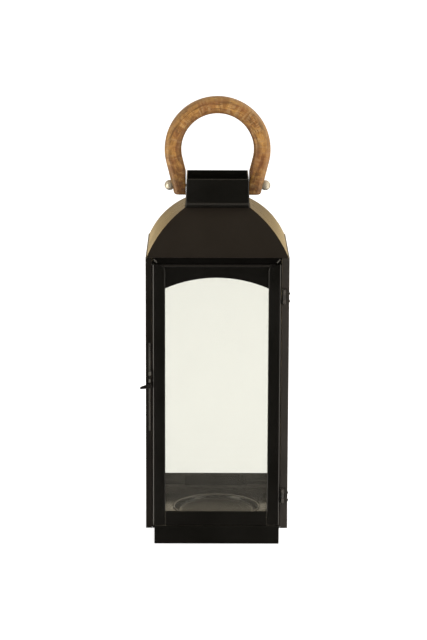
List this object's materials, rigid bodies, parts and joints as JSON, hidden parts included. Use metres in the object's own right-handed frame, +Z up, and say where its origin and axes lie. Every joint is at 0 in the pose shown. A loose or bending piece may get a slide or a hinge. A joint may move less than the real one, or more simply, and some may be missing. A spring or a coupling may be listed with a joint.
{
  "type": "candle lantern",
  "caption": "Tall square sheet-metal candle lantern with glass walls, domed hip roof, open neck, arched hinged door with turn latch and a pivoting wooden ring handle.",
  "frame": {"origin": "centre of the square base, on the surface the lantern stands on", "axes": "+Z up; the door faces -Y; +X is the hinge side, to the right seen from the front"},
  "size_m": [0.1725, 0.1693, 0.5184],
  "materials": {
    "black_paint": "satin black powder coat",
    "black_hardware": "satin black, thin coat with worn edges",
    "glass": "clear float glass, faint green tint",
    "wood": "oiled mango wood, mottled grain",
    "nickel": "antique nickel, softly polished"
  },
  "bodies": {
    "lantern_body": {"back_arched_head": "black_paint", "back_bottom_rail": "black_paint", "back_left_post": "black_paint", "back_pane": "glass", "back_pane_lower_clip": "black_paint", "back_pane_upper_clip": "black_paint", "back_right_post": "black_paint", "back_roof_panel": "black_paint", "floor_plate": "black_paint", "front_header": "black_paint", "front_left_post": "black_paint", "front_right_post": "black_paint", "front_roof_panel": "black_paint", "front_sill": "black_paint", "latch_rivet": "black_hardware", "latch_strap": "black_hardware", "left_arched_head": "black_paint", "left_ball_nut": "nickel", "left_bolt": "nickel", "left_bottom_rail": "black_paint", "left_hex_nut": "nickel", "left_inner_washer": "nickel", "left_outer_washer": "nickel", "left_pane": "glass", "left_pane_lower_clip": "black_paint", "left_pane_upper_clip": "black_paint", "left_roof_panel": "black_paint", "lower_hinge_pin": "black_hardware", "lower_hinge_post_leaf": "black_hardware", "neck": "black_paint", "plinth_skirt": "black_paint", "right_arched_head": "black_paint", "right_ball_nut": "nickel", "right_bolt": "nickel", "right_bottom_rail": "black_paint", "right_hex_nut": "nickel", "right_inner_washer": "nickel", "right_outer_washer": "nickel", "right_pane": "glass", "right_pane_lower_clip": "black_paint", "right_pane_upper_clip": "black_paint", "right_roof_panel": "black_paint", "upper_hinge_pin": "black_hardware", "upper_hinge_post_leaf": "black_hardware"},
    "door": {"door_arched_panel": "black_paint", "door_bottom_rail": "black_paint", "door_left_stile": "black_paint", "door_pane": "glass", "door_pane_lower_clip": "black_paint", "door_pane_upper_clip": "black_paint", "door_right_stile": "black_paint", "lower_hinge_door_leaf": "black_hardware", "upper_hinge_door_leaf": "black_hardware"},
    "latch": {"latch_lever": "black_hardware"},
    "handle": {"wooden_handle": "wood"}
  },
  "joints": [
    {"name": "door_swing", "type": "hinge", "parent": "lantern_body", "child": "door", "pos_m": [0.077, -0.0843, 0.18], "axis": [0, 0, 1], "range_deg": [0, 120]},
    {"name": "latch_turn", "type": "hinge", "parent": "lantern_body", "child": "latch", "pos_m": [-0.078, -0.0848, 0.1923], "axis": [0, 1, 0], "range_deg": [0, 90]},
    {"name": "handle_pivot", "type": "hinge", "parent": "lantern_body", "child": "handle", "pos_m": [0, 0, 0.4142], "axis": [1, 0, 0], "range_deg": [-108, 108]}
  ]
}
